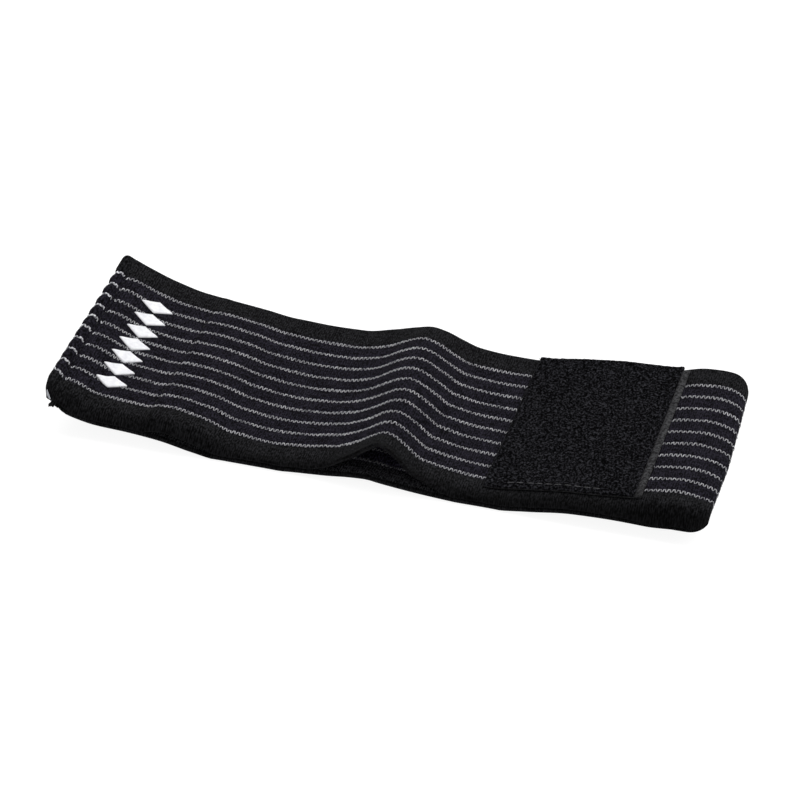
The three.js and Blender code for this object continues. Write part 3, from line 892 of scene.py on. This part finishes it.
# Each hook rises from the ground as part of a sine and sweeps out and back, every second one the other way.
small_rows, small_columns = np.meshgrid(
    np.linspace(hook_from + 1.6, hook_to - 1.6, hook_rows_along),
    np.linspace(-hook_half + 1.2, hook_half - 1.2, hook_rows_across), indexing="ij")
hook_bend = np.linspace(0, 1, 6)
hook_way = np.where(np.arange(small_rows.size) % 2, 1, -1)[:, None]
hook_sweep = hook_swing * np.sin(np.pi * hook_bend)**1.2 * hook_way
hook_points, hook_up = band_place(
    small_rows.ravel()[:, None] + hook_sweep, small_columns.ravel()[:, None] + 0.1 * hook_bend,
    hook_low + 0.05 - hook_height * np.sin(hook_bend * 0.72 * np.pi))
hook_tubes = tubes(hook_points, hook_up + np.array([0, 1.0, 0]), hook_radius, sides=3)
hook_field = mesh_piece("hook_field", *hook_tubes, hook_grey)
for piece in (hook_ground, hook_field):
    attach(piece, "root")
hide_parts("hook_tape")


# The mark near the hem is a plain border of white lozenges in a row across the band, pressed on as a
# thin rubbery transfer that follows the cloth.
mark_along = along_upper(left_end + 16.3)
mark_count, mark_pitch, mark_half_length, mark_half_breadth = 7, 7.1, 5.4, 3.15
film_thickness, film_rim, film_sunk, blunt = 0.26, 0.03, 0.3, 0.05
mark_u, mark_v = np.meshgrid(np.linspace(-1, 1, 25), np.linspace(-1, 1, 11), indexing="ij")
transfer_white = mottled_material(
    "transfer_white", dark=(0.74, 0.74, 0.77), light=(0.88, 0.88, 0.90), scale=700, roughness=0.55,
    specular=0.3, detail=3)[0]


def lozenge(middle):
    """A closed film over one lozenge: along = u half_length, across = v half_breadth (1 - |u|) with
    blunted points, and a top that comes down to the cloth at the rim."""
    breadth = mark_half_breadth * (blunt + (1 - blunt) * (1 - np.abs(mark_u)))
    along, across = mark_along + mark_u * mark_half_length, middle + mark_v * breadth
    rim = np.minimum(1 - np.abs(mark_u), (1 - np.abs(mark_v)) * breadth / mark_half_length)
    top = film_thickness * np.sqrt(np.clip(rim / film_rim, 0, 1))
    over, _ = band_place(along, across, half_thickness + 0.04 + top - seam_pull(along, across))
    under, _ = band_place(along, across, half_thickness - film_sunk)
    return closed_sheet(over, under)


mark_places = (np.arange(mark_count) - (mark_count - 1) / 2) * mark_pitch
mark = mesh_piece("printed_border", *joined([lozenge(place) for place in mark_places]), transfer_white)
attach(mark, "root")


# The hem's open front end shows a sliver of pale tape, and the cut threads under it stick out as a small
# black tuft.
end_top, end_low = np.array([left_end + 1.15, -37.3, 15.3]), np.array([left_end + 2.8, -38.1, 11.8])
end_steps = np.linspace(0, 1, 8)[:, None]
end_bulge = np.array([-0.4, 0, 0]) * np.sin(np.pi * end_steps)
end_radius = 0.36 * np.sin(np.pi * (0.12 + 0.76 * end_steps[:, 0]))
end_line = end_top + (end_low - end_top) * end_steps + end_bulge
tape_grey = mottled_material("tape_grey", dark=(0.34, 0.35, 0.38), light=(0.50, 0.51, 0.54), scale=1500,
                             roughness=0.7, specular=0.2)[0]
end_tube = tubes(end_line[None], np.array([0.0, -1.0, 0.0]), end_radius, sides=8)
hem_end = mesh_piece("hem_end", *end_tube, tape_grey)

tuft_count, thread_radius = 30, 0.17
chance = np.random.default_rng(31)
tuft_way = np.column_stack([chance.uniform(-0.9, 0.9, tuft_count), chance.uniform(-0.9, 0.1, tuft_count),
                            chance.uniform(-0.9, 0.3, tuft_count)])
tuft_steps = np.linspace(0, 1, 5)[:, None]
tuft_roots = end_low + np.array([1.3, 1.6, 0.2]) + 0.5 * tuft_way[:, None]
tuft_tips = end_low + np.array([-0.1, -0.5, -1.0]) + 0.85 * tuft_way[:, None]
tuft_lines = tuft_roots + (tuft_tips - tuft_roots) * tuft_steps
tuft_tubes = tubes(tuft_lines, np.array([0.3, 0.2, 1.0]), thread_radius, sides=4)
tuft = mesh_piece("hem_tuft", *tuft_tubes, thread_black)
for piece in (hem_end, tuft):
    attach(piece, "root")
